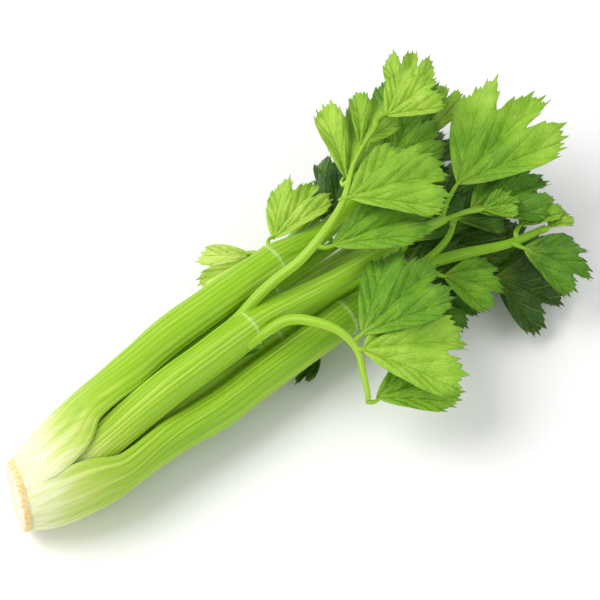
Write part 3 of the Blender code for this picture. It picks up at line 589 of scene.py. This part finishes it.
def bent(x, y, droop, cup, phase, lift):
    """Flat leaflet points of unit length, shaped: pleated along its veins, waved, cupped and drooping."""
    r = np.hypot(x, y)
    angle = np.degrees(np.arctan2(y, x))
    z = -PLEAT * r * np.cos(2 * math.pi * angle / SIDE_LOBE)
    z = z + WAVE * r * r * np.sin(np.radians(WAVES * angle) + phase) + lift
    across = math.radians(cup)
    y, z = (1 / across + z) * np.sin(across * y), (1 / across + z) * np.cos(across * y) - 1 / across
    down = math.radians(droop)
    x, z = (1 / down + z) * np.sin(down * x), (1 / down + z) * np.cos(down * x) - 1 / down
    return np.stack([x, y, z], axis=-1)


def leaf_pose(name):
    """What places a leaflet: its base, axes as rows, length, droop, cup, wave phase and width."""
    _, base, tip, width, droop, cup = LEAFLETS[name][:6]
    lift, roll, more = CHANGES.get(name, (0, 0, 0))
    *move, growth = NUDGES.get(name, (0, 0, 0, 1.0))
    base, tip, droop = Vector(base), Vector(tip) + Vector((0, 0, lift)), droop + more
    phase = WAVE_STEP * list(LEAFLETS).index(name)
    end = bent(1.0, 0.0, droop, cup, phase, 0.0)
    size = (tip - base).length / np.linalg.norm(end)
    ahead = (tip - base).normalized()
    up = Vector((0, 0, 1))
    up = (up - up.dot(ahead) * ahead).normalized()
    up.rotate(Matrix.Rotation(math.radians(roll), 3, ahead))
    level = np.array(Matrix.Rotation(math.atan2(end[2], end[0]), 3, "Y"))
    axes = np.array([ahead, up.cross(ahead), up])
    return {"base": np.array(base) + move, "turn": level.T @ axes, "size": size * growth, "droop": droop,
            "cup": cup, "phase": phase, "width": width}


def leaf_points(pose, r, angle, lift):
    """Points of a leaflet at polar places, r as part of its length and angle in degrees."""
    turn = np.radians(angle)
    x, y = r * np.cos(turn), pose["width"] * r * np.sin(turn)
    flat = bent(x, y, pose["droop"], pose["cup"], pose["phase"], lift)
    return pose["base"] + pose["size"] * (flat @ pose["turn"])


def reach(angle, cut):
    """How far out the margin lies at an angle, with the cuts between lobes but no teeth."""
    angle, rows = np.abs(angle), np.array(OUTLINE, float)
    away = np.abs(angle - NOTCH[0]) / NOTCH[1]
    return np.interp(angle, rows[:, 0], rows[:, 1]) * (1 - cut * NOTCH[2] * np.clip(1 - away, 0, None))


def tooth_knots(teeth):
    """Angles of one half's fine teeth: each main tooth's interval is split, and a tip follows each valley."""
    tips, count = TEETH[teeth], FINE_TEETH[teeth]
    places = [tips[0]]
    for a, b in zip(tips, tips[1:]):
        for k in range(count):
            places += [a + (b - a) * (k + VALLEY) / count, a + (b - a) * (k + 1) / count]
    return np.array(places, float)


def tooth_cut(angle, teeth, draw):
    """How far the margin is cut back at an angle, as part of its reach, differently in each half."""
    tips = np.array(TEETH[teeth], float)
    places = tooth_knots(teeth)
    i = np.clip(np.searchsorted(tips, places, side="right") - 1, 0, len(tips) - 2)
    t = (places - tips[i]) / (tips[i + 1] - tips[i])
    halves = []
    for _ in range(2):
        uneven = FINE_DEPTH * draw.uniform(*TIP_CUTS, len(places))
        cut = MAIN_DEPTH * 4 * t * (1 - t) + uneven * (t > 0) * (t < 1)
        cut[1::2] += FINE_DEPTH * draw.uniform(*VALLEY_CUTS, len(cut[1::2]))
        cut[-1] = 0
        halves.append(np.interp(np.abs(angle), places, cut))
    return np.where(angle < 0, *halves)


def vein_fields(r, angle, cut, teeth):
    """Side vein count, distance from the nearest main vein, and how well side veins show, at polar places."""
    a = np.abs(angle)
    lobe = np.where(a < SIDE_LOBE / 2, 0.0, SIDE_LOBE)
    off = np.radians(a - lobe)
    ahead, away = r * np.cos(off), r * np.abs(np.sin(off))
    slid = ahead - VEIN_SLANT * away
    count = np.zeros_like(r)
    tips = np.array(TEETH[teeth], float)
    inner = (tips > NOTCH[0]) & (tips < SIDE_LOBE + LOBE_SLACK)
    sides = ((a < SIDE_LOBE / 2, 0.0, tips[tips < NOTCH[0]]),
             ((a >= SIDE_LOBE / 2) & (a < SIDE_LOBE), SIDE_LOBE, tips[inner]),
             (a >= SIDE_LOBE, SIDE_LOBE, tips[tips > SIDE_LOBE - LOBE_SLACK]))
    for here, middle, these in sides:
        turn = np.radians(these - middle)
        ends = reach(these, cut) * (np.cos(turn) - VEIN_SLANT * np.abs(np.sin(turn)))
        ends = np.unique(np.round(ends, 4))[::-1]
        knots = np.concatenate([ends, ends[-1] - BLADE_SPACING * np.arange(1, BASE_VEINS + 1)])
        count[here] = np.interp(slid[here], knots[::-1], np.arange(len(knots), dtype=float)[::-1])
    fade = ramp(np.abs(a - SIDE_LOBE / 2), *VEIN_CLEAR)
    return count, away / (VEIN_TAPER + (1 - VEIN_TAPER) * (1 - np.clip(ahead, 0, 1))), fade


def noise_over(flat, kind, seed):
    """Noise of a (height, frequency) kind, of height 1, at flat x, y, 2 rows of places in millimetres."""
    spots = (flat.reshape(2, -1) * kind[1]).T
    return np.array([noise.noise((a, b, seed)) for a, b in spots]).reshape(flat.shape[1:])


def grid_normals(grid):
    """Unit normals of a rows x columns x 3 grid of points."""
    down, across = np.gradient(grid, axis=0), np.gradient(grid, axis=1)
    normals = np.cross(down, across)
    return normals / np.maximum(np.linalg.norm(normals, axis=-1, keepdims=True), 1e-9)


def add_leaflet(name):
    """A blade with fine teeth, veins that stand out, crinkles and swells, thinner at its margin."""
    cut, teeth, tone = LEAFLETS[name][6:]
    pose = POSES[name]
    size = pose["size"]
    half = np.arange(0, OUTLINE[-1][0], COLUMN_STEP[teeth])
    marks = np.concatenate([tooth_knots(teeth), [SIDE_LOBE, OUTLINE[-1][0]]])
    half = half[np.abs(half[:, None] - marks).min(1) > MARK_GAP * COLUMN_STEP[teeth]]
    half = np.unique(np.concatenate([half, marks]))
    angle = np.concatenate([-half[:0:-1], half])
    parts = np.linspace(0, 1, BLADE_ROWS[teeth]) ** ROW_POWER
    full = reach(angle, cut)
    start = START / size
    draw = np.random.default_rng(list(LEAFLETS).index(name))
    tooth = tooth_cut(angle, teeth, draw) * ramp(parts, TOOTH_REACH, 1.0)[:, None]
    r = start + parts[:, None] * (full * (1 - tooth) - start)
    angles = np.broadcast_to(angle, r.shape)
    count, main, fade = vein_fields(r, angles, cut, teeth)
    between = 0.5 - 0.5 * np.cos(2 * math.pi * count)
    swell = QUILT * between * fade * np.clip(main * size / QUILT_CLEAR, 0, 1) * ramp(r, *QUILT_RISE)
    seed = LEAF_SEED * list(LEAFLETS).index(name)
    turn = np.radians(angles)
    flat = np.stack([r * np.cos(turn) * size, pose["width"] * r * np.sin(turn) * size])
    crinkle = noise_over(flat, CRINKLE, seed)
    crinkle = crinkle + FINE_CRINKLE[0] * noise_over(flat, FINE_CRINKLE, seed + FINE_SEED)
    broad = SWELL[0] * ramp(r, *SWELL_RISE) * noise_over(flat, SWELL, seed + SWELL_SEED)
    lift = (swell + CRINKLE[0] * crinkle * ramp(r, *CRINKLE_RISE)) / size
    lift = lift + RUFFLE * r**3 * np.sin(np.radians(RUFFLES * angles) + RUFFLE_TURN * pose["phase"])
    lift = lift - FOLD * r * np.cos(2 * math.pi * angles / SIDE_LOBE) + broad / size
    grid = leaf_points(pose, r, angles, lift)
    normals = grid_normals(grid)
    if normals[len(parts) // 2, len(angle) // 2] @ pose["turn"][2] < 0:
        normals = -normals
    edge = ramp(parts, *MARGIN)[:, None] * np.ones_like(r)
    thick = BLADE_THICK + (MARGIN_THICK - BLADE_THICK) * edge
    spread = main * size
    ridge = RIDGE * np.exp(-(spread / RIDGE_WIDTH) ** 2) * (1 - ramp(r, *RIDGE_FALL))
    top = grid + normals * (thick / 2 - SUNK * ridge)[:, :, None]
    under = grid - normals * (thick / 2 + ridge)[:, :, None]
    total = r.size
    spots = np.arange(total).reshape(r.shape)
    quads = np.stack([spots[:-1, :-1], spots[1:, :-1], spots[1:, 1:], spots[:-1, 1:]], axis=-1).reshape(-1, 4)
    faces = np.stack([quads, quads[:, ::-1] + total], axis=1).reshape(-1, 4)
    loop = np.concatenate([spots[0], spots[1:, -1], spots[-1, -2::-1], spots[-2:0:-1, 0]])
    after = np.roll(loop, -1)
    faces = np.concatenate([faces, np.stack([loop, after, after + total, loop + total], axis=1)])
    points = np.concatenate([top.reshape(-1, 3), under.reshape(-1, 3)])
    points[:, 2] = np.maximum(points[:, 2], FLOOR)
    uv = flat.reshape(2, -1).T
    fields = {
        "count": count, "main": spread, "fade": fade, "edge": edge, "root": 1 - ramp(r, *FOOT),
        # some leaflets are painted darker towards their foot, as painted shade
        "tone": tone - FOOT_SHADE.get(name, 0.0) * (1 - ramp(r, *FOOT_SHADE_FALL)),
    }
    fields = {key: np.tile(field.ravel(), 2) for key, field in fields.items()}
    return new_mesh(f"leaf_{name}_fine", points, faces, np.concatenate([uv, uv + UNDER_SHIFT]),
                    under=np.repeat([0.0, 1.0], total), **fields)


# Crown

CROWN_SIDES = 180
CROWN_STEP = 0.55
RIM_PLACE = (12, 21)  # radius over which the smooth cut turns into the uneven rim
RIM_WAVE, RIM_WAVES, RIM_INSET = 0.022, 2.2, 0.012  # parts of the radius
RIM_DRIFT = 0.1  # how fast the wave changes along the crown
CRUMB, CRUMBS = 0.5, 0.6  # height and frequency of the rim's crumbs
GRAIN, GRAINS, GRAIN_SEED = 0.35, 0.35, 9.0  # the same for the cut face's grain
CUT_DEPTH, GRAIN_AT_RIM = 3, 0.6  # how deep the grain reaches, and how much of it the rim lacks


def add_crown():
    """The cut disc, its profile turned finely, with an uneven rim and a slightly rough cut."""
    profile = np.array(CROWN, float)
    gone = travelled(profile)
    places = np.arange(CROWN_STEP, gone[-1], CROWN_STEP)
    rows = np.stack([np.interp(places, gone, profile[:, k]) for k in (0, 1)], axis=1)
    points, polar = [], []
    for radius, x in rows:
        for k in range(CROWN_SIDES):
            turn = 2 * math.pi * k / CROWN_SIDES
            across, up = math.cos(turn), math.sin(turn)
            wave, crumb, grain = (
                noise.noise((scale * across, scale * up, level)) for scale, level in
                ((RIM_WAVES, RIM_DRIFT * x), (CRUMBS * radius, CRUMBS * x), (GRAINS * radius, GRAIN_SEED)))
            rim = ramp(radius, *RIM_PLACE)
            r = radius * (1 + RIM_WAVE * wave * rim - RIM_INSET * rim) + CRUMB * crumb * rim
            depth = x + (GRAIN * grain if x < CUT_DEPTH else 0.0) * (1 - GRAIN_AT_RIM * rim)
            points.append((max(depth, 0.0), RING[0][1] - r * across, RING[0][2] + r * up))
            polar.append((r, turn))
    first = len(points)
    points += [(rows[0][1], RING[0][1], RING[0][2]), (rows[-1][1], RING[0][1], RING[0][2])]
    polar += [(0, 0), (0, 0)]
    faces = tunnel(len(rows), CROWN_SIDES)[2:]
    for k in range(CROWN_SIDES):
        j = (k + 1) % CROWN_SIDES
        faces.append((first, j, k))
        faces.append((first + 1, first - CROWN_SIDES + k, first - CROWN_SIDES + j))
    points, polar = np.array(points), np.array(polar)
    flat = np.stack([polar[:, 0] * np.cos(polar[:, 1]), polar[:, 0] * np.sin(polar[:, 1])], axis=1)
    return new_mesh("crown_fine", points, faces, flat, radius=polar[:, 0], depth=points[:, 0])


# Materials

class Nodes:
    """A short way to write a material's nodes."""

    def __init__(self, name):
        self.material = bpy.data.materials.new(name)
        self.material.use_nodes = True
        self.tree = self.material.node_tree
        self.shader = self.tree.nodes["Principled BSDF"]

    def feed(self, socket, value):
        if isinstance(value, bpy.types.NodeSocket):
            self.tree.links.new(value, socket)
        elif isinstance(value, tuple) and len(value) == 3 and socket.type == "RGBA":
            socket.default_value = (*value, 1)
        else:
            socket.default_value = value

    def node(self, kind, inputs=None, **settings):
        node = self.tree.nodes.new(kind)
        for key, value in settings.items():
            setattr(node, key, value)
        for key, value in (inputs or {}).items():
            self.feed(node.inputs[key], value)
        return node

    def read(self, *names):
        """Attributes of the mesh."""
        return [self.node("ShaderNodeAttribute", attribute_name=name).outputs["Fac"] for name in names]

    def set(self, name, value):
        self.feed(self.shader.inputs[name], value)

    def math(self, kind, a, b=0.0, clamp=False):
        return self.node("ShaderNodeMath", {0: a, 1: b}, operation=kind, use_clamp=clamp).outputs[0]

    def times(self, value, *more):
        for factor in more:
            value = self.math("MULTIPLY", value, factor)
        return value

    def plus(self, value, *more):
        for part in more:
            value = self.math("ADD", value, part)
        return value

    def off_half(self, value):
        """How far a value is from the nearest half, 0 to 0.5."""
        return self.math("ABSOLUTE", self.math("SUBTRACT", self.math("FRACT", value), 0.5))

    def span(self, value, low, high, to_low=0.0, to_high=1.0):
        """A value's rise from low to high, turned smoothly into one from to_low to to_high."""
        names = ("Value", "From Min", "From Max", "To Min", "To Max")
        inputs = dict(zip(names, (value, low, high, to_low, to_high)))
        return self.node("ShaderNodeMapRange", inputs, interpolation_type="SMOOTHSTEP").outputs[0]

    def mix(self, share, a, b):
        return self.node("ShaderNodeMix", {0: share, 6: a, 7: b}, data_type="RGBA").outputs[2]

    def over(self, base, *layers):
        """A colour with layers of (share, colour) mixed over it, one after the other."""
        for share, colour in layers:
            base = self.mix(share, base, colour)
        return base

    def colours(self, value, stops):
        """A ramp of (place, colour) stops."""
        node = self.node("ShaderNodeValToRGB", {0: value})
        ramp_of = node.color_ramp
        while len(ramp_of.elements) < len(stops):
            ramp_of.elements.new(1.0)
        for element, (place, colour) in zip(ramp_of.elements, stops):
            element.position = place
            element.color = (*colour, 1)
        return node.outputs[0]

    def sheet(self, across, along):
        """The UV map in millimetres, scaled."""
        uv = self.node("ShaderNodeUVMap", uv_map="sheet").outputs[0]
        return self.node("ShaderNodeMapping", {"Vector": uv, "Scale": (across, along, 1)}).outputs[0]

    def noise(self, across, along, detail=3.0, rough=0.55, scale=1.0):
        return self.node("ShaderNodeTexNoise", {"Vector": self.sheet(across, along), "Scale": scale,
                                                "Detail": detail, "Roughness": rough}).outputs["Fac"]

    def cells(self, scale, **settings):
        """Distance in a cell pattern on the UV map."""
        inputs = {"Vector": self.sheet(scale, scale), "Scale": 1.0}
        return self.node("ShaderNodeTexVoronoi", inputs, **settings).outputs["Distance"]

    def bump(self, height, strength, distance, below=None):
        node = self.node("ShaderNodeBump", {"Height": height, "Strength": strength, "Distance": distance})
        if below is not None:
            self.feed(node.inputs["Normal"], below)
        return node.outputs[0]

    def finished(self, base, rough, normal, weight, radius, scale):
        """The material with this colour, roughness, normal and subsurface light."""
        for name, value in (("Base Color", base), ("Roughness", rough), ("Normal", normal),
                            ("Subsurface Weight", weight), ("Subsurface Radius", radius),
                            ("Subsurface Scale", scale)):
            self.set(name, value)
        return self.material


BUTT_WHITE = (0.80, 0.82, 0.56)
STALK_GREEN = (0.30, 0.54, 0.010)
# the first of these is painted shade for the creases between ribs; the other two are random tones of the ribs
GROOVE_SHADE, DARK_RIB, LIGHT_RIB = (0.10, 0.30, 0.004), (0.14, 0.37, 0.004), (0.56, 0.74, 0.11)
PALE_STREAK, NODE_PALE = (0.62, 0.77, 0.16), (0.66, 0.78, 0.34)
ROSY, HOLLOW = (0.66, 0.44, 0.28), (0.44, 0.62, 0.11)
RIPE_LENGTH, HEART_RIPE = 320.0, 220.0  # how far along stalks and heart the colours run from white to green
VEIN_PALE, LEAF_FOOT, LEAF_UNDER = (0.60, 0.76, 0.16), (0.36, 0.56, 0.05), (0.24, 0.40, 0.08)
BRIGHTEST = 1.2  # tone at the end of the leaves' colours


def stalk_material():
    n = Nodes("celery_stalk")
    along, groove, inside, node, band = n.read("along", "groove", "inside", "node", "band")
    patches = n.noise(0.10, 0.018)
    streaks = n.noise(1.3, 0.03, 3.0, 0.6)
    broad = n.noise(0.22, 0.012, 2.0)
    place = n.plus(along, n.span(patches, 0.2, 0.8, -9.0, 9.0), n.span(streaks, 0.3, 0.7, -8.0, 8.0),
                   n.times(band, -9.0))
    base = n.colours(n.math("DIVIDE", place, RIPE_LENGTH, True), (
        (0.045, BUTT_WHITE), (0.085, (0.69, 0.74, 0.38)), (0.125, (0.53, 0.65, 0.14)),
        (0.17, (0.385, 0.57, 0.045)), (0.24, (0.325, 0.55, 0.018)), (0.36, STALK_GREEN),
        (0.60, (0.28, 0.525, 0.009)), (1.0, (0.21, 0.45, 0.007)),
    ))
    ripe = n.span(place, 12.0, 80.0, 0.10, 0.62)
    shade = n.plus(band, n.span(broad, 0.3, 0.7, -0.6, 0.6))
    dark = n.times(n.span(shade, -0.1, -1.3), ripe)
    rosy = n.span(n.noise(0.9, 0.02, 2.0, scale=1.3), 0.58, 0.68)
    base = n.over(
        base,
        # painted shade in the creases between ribs and in the grooves of branches and twigs
        (n.times(groove, ripe), GROOVE_SHADE),
        (n.times(n.span(shade, 0.0, 1.3), 0.42), LIGHT_RIB),
        (n.times(dark, 0.75), DARK_RIB),
        (n.span(streaks, 0.52, 0.78, 0.0, 0.28), PALE_STREAK),
        (n.times(rosy, n.span(place, 24.0, 52.0, 0.32, 0.0)), ROSY),
        (n.times(inside, 0.5), HOLLOW),
        (n.times(node, 0.45), NODE_PALE),
    )
    fine = n.noise(2.2, 0.10, 4.0, 0.6)
    pores = n.noise(2.5, 2.5, 2.0)
    normal = n.bump(pores, 0.10, 0.0002, n.bump(fine, 0.45, 0.0004))
    n.set("Specular IOR Level", 0.35)
    return n.finished(base, n.span(streaks, 0.25, 0.8, 0.30, 0.44), normal, 0.10, (1.0, 1.0, 0.15), 0.0015)


def leaf_material():
    n = Nodes("celery_leaf")
    count, main, fade, edge, under = n.read("count", "main", "fade", "edge", "under")
    tone, root = n.read("tone", "root")
    patches = n.noise(0.06, 0.06)
    fine = n.noise(0.8, 0.8)
    off = n.off_half(n.plus(count, 0.5))
    side_vein = n.times(n.span(off, 0.015, 0.09, 1.0, 0.0), fade)
    third = n.off_half(n.times(count, 3.0))
    third_vein = n.times(n.span(third, 0.30, 0.5), fade)
    main_vein = n.span(main, 0.12, 0.65, 1.0, 0.0)
    vein = n.math("MAXIMUM", n.times(side_vein, 0.7), main_vein)
    vein = n.math("MAXIMUM", n.times(third_vein, 0.22), vein)
    net = n.span(n.cells(0.55, feature="DISTANCE_TO_EDGE"), 0.0, 0.12, 1.0, 0.0)
    hue = n.plus(tone, n.span(patches, 0.25, 0.75, -0.09, 0.09), n.span(fine, 0.3, 0.7, -0.05, 0.05),
                 n.times(edge, -0.10))
    # the darkest colours of this ramp serve as painted shade on leaves that lie low or under others
    base = n.colours(n.math("DIVIDE", hue, BRIGHTEST, True), (
        (0.0, (0.012, 0.065, 0.002)), (0.25, (0.042, 0.150, 0.003)), (0.46, (0.110, 0.310, 0.006)),
        (0.67, (0.245, 0.485, 0.022)), (0.83, (0.390, 0.620, 0.055)), (1.0, (0.620, 0.800, 0.160)),
    ))
    light = n.mix(0.45, base, VEIN_PALE)
    base = n.over(base, (n.times(net, 0.16), light), (n.times(vein, 0.5), light),
                  (n.times(root, 0.40), LEAF_FOOT), (n.times(under, 0.35), LEAF_UNDER))
    height = n.plus(n.times(n.span(off, 0.0, 0.35), n.times(fade, 0.35)), n.times(third_vein, -0.18),
                    n.times(net, -0.18), n.times(main_vein, -0.45), n.times(n.noise(0.30, 0.30), 1.3))
    n.set("Specular IOR Level", 0.32)
    return n.finished(base, n.span(fine, 0.3, 0.7, 0.34, 0.50), n.bump(height, 0.9, 0.0010), 0.15,
                      (0.9, 1.0, 0.15), 0.0010)


def crown_material():
    n = Nodes("celery_crown")
    radius, depth = n.read("radius", "depth")
    rough = n.noise(0.22, 0.22, 5.0, 0.6)
    fibres = n.noise(0.9, 0.9, 4.0, 0.65)
    dots = n.span(n.cells(0.36), 0.10, 0.26, 1.0, 0.0)
    band = n.times(n.span(radius, 9.0, 12.0), n.span(radius, 17.0, 19.5, 1.0, 0.0))
    rim = n.span(n.plus(radius, n.span(rough, 0.3, 0.7, -1.2, 1.2)), 18.6, 21.0)
    chips = n.noise(0.5, 0.5, 3.0, 0.7)
    cut = n.mix(n.span(rough, 0.3, 0.75), (0.86, 0.79, 0.66), (0.78, 0.67, 0.48))
    tan = n.mix(n.span(fibres, 0.35, 0.65), (0.88, 0.70, 0.26), (0.74, 0.47, 0.10))
    base = n.over(
        cut,
        (n.times(dots, band, 0.5), (0.60, 0.50, 0.22)),
        (n.times(rim, n.span(chips, 0.36, 0.58, 0.45, 1.0)), tan),
        (n.span(depth, 3.6, 5.2), (0.80, 0.80, 0.52)),
    )
    height = n.plus(n.times(fibres, 0.8), n.times(rough, 0.6))
    return n.finished(base, 0.6, n.bump(height, 0.6, 0.0008), 0.2, (1.0, 0.9, 0.6), 0.002)


def heart_material():
    n = Nodes("celery_heart")
    groove, along = n.read("groove", "along")
    streaks = n.noise(1.2, 0.05)
    base = n.colours(n.math("DIVIDE", along, HEART_RIPE, True), (
        (0.1, (0.82, 0.84, 0.60)), (0.4, (0.72, 0.79, 0.36)), (1.0, (0.48, 0.62, 0.13)),
    ))
    # the darker green in the grooves is painted shade
    base = n.over(base, (n.times(groove, 0.3), (0.45, 0.60, 0.14)),
                  (n.span(streaks, 0.4, 0.7, 0.0, 0.3), (0.60, 0.70, 0.25)))
    return n.finished(base, n.span(streaks, 0.3, 0.7, 0.32, 0.45), n.bump(streaks, 0.3, 0.0003), 0.25,
                      (1.0, 1.0, 0.3), 0.002)


# Stage

AZIMUTH, ELEVATION = -41.0, 55.0
TARGET = (214.0, -15.0, 45.0)
DISTANCE = 1250.0
LENS = 120.0
LIT = (0.05, -0.02, 0.03)  # where the lights aim, in metres
FLOOR_HALF, FLOOR_DEPTH = 6.0, -0.0006  # in metres
WORLD_LIGHT = 0.7


def aim(obj, place, target):
    way = Vector(target) - Vector(place)
    obj.location = place
    obj.rotation_euler = way.to_track_quat("-Z", "Y").to_euler()


def add_camera():
    azimuth, elevation = math.radians(AZIMUTH), math.radians(ELEVATION)
    back = np.array([math.sin(azimuth) * math.cos(elevation), -math.cos(azimuth) * math.cos(elevation),
                     math.sin(elevation)])
    target = placed([TARGET])[0]
    camera = linked("camera", bpy.data.cameras.new("camera"))
    aim(camera, target + back * DISTANCE * MM, target)
    camera.data.lens = LENS
    camera.data.clip_start = 0.01
    bpy.context.scene.camera = camera


def add_light(name, place, size, power, colour):
    light = bpy.data.lights.new(name, "AREA")
    light.shape = "DISK"
    light.size = size
    light.energy = power
    light.color = colour
    aim(linked(name, light), place, LIT)


def add_stage():
    mesh = bpy.data.meshes.new("floor")
    corners = ((-1, -1), (1, -1), (1, 1), (-1, 1))
    mesh.from_pydata([(x * FLOOR_HALF, y * FLOOR_HALF, FLOOR_DEPTH) for x, y in corners], [], [(0, 1, 2, 3)])
    floor = linked("floor", mesh)
    n = Nodes("floor_white")
    n.set("Base Color", (0.93, 0.93, 0.93, 1))
    n.set("Roughness", 0.8)
    mesh.materials.append(n.material)
    world = bpy.data.worlds.new("studio")
    world.use_nodes = True
    world.node_tree.nodes["Background"].inputs["Color"].default_value = (1.0, 1.0, 1.0, 1)
    world.node_tree.nodes["Background"].inputs["Strength"].default_value = WORLD_LIGHT
    bpy.context.scene.world = world
    add_light("key", (-0.6, 0.6, 1.25), 1.2, 17.0, (1.0, 0.99, 0.96))
    add_light("fill", (0.2, -1.2, 0.9), 1.2, 3.0, (0.97, 0.99, 1.0))
    bpy.context.scene.view_settings.view_transform = "Standard"


def dress(obj, node, material):
    obj.data.materials.append(material)
    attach(obj, "root")
    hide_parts(node)


POSES = {name: leaf_pose(name) for name in LEAFLETS}
STALK, LEAF = stalk_material(), leaf_material()
for stem in STALKS:
    dress(add_stalk(stem), "stalk_" + stem, STALK)
for blade in LEAFLETS:
    dress(add_leaflet(blade), "leaf_" + blade, LEAF)
dress(add_heart(), "heart", heart_material())
dress(add_crown(), "crown", crown_material())
add_camera()
add_stage()
